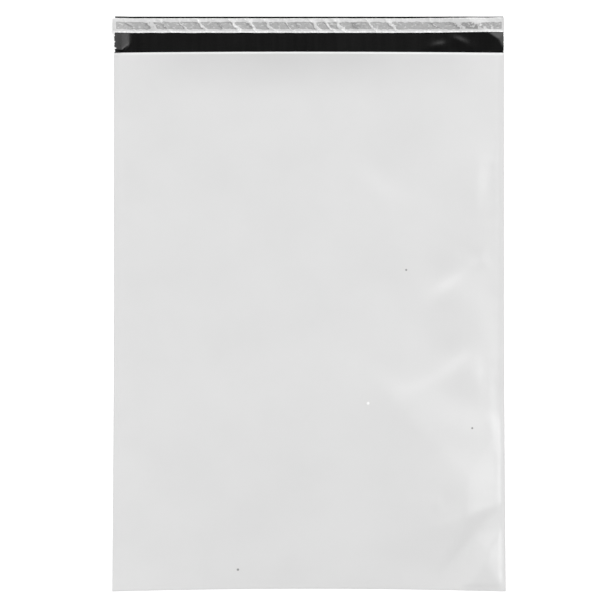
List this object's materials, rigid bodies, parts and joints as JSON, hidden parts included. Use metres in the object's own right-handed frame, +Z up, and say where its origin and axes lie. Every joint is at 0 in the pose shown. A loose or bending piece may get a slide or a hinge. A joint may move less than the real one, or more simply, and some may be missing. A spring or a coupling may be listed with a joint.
{
  "type": "poly mailing bag",
  "caption": "Empty flat mailing bag of opaque film with welded sides, a folded bottom, an open mouth and a lip with adhesive under a release liner.",
  "frame": {"origin": "on the ground under the middle of the bag's overall box, with the bag lying on its back panel", "axes": "+Y from the bottom fold towards the mouth and the lip, +Z up out of the front panel, +X to the right when the front panel is seen with the lip at the top"},
  "size_m": [0.434, 0.6343, 0.0128],
  "materials": {
    "film": "satin",
    "adhesive": "gloss",
    "liner": "satin"
  },
  "bodies": {
    "root": {"bag_film": "film", "adhesive_strip": "adhesive", "release_liner": "liner"}
  },
  "joints": []
}
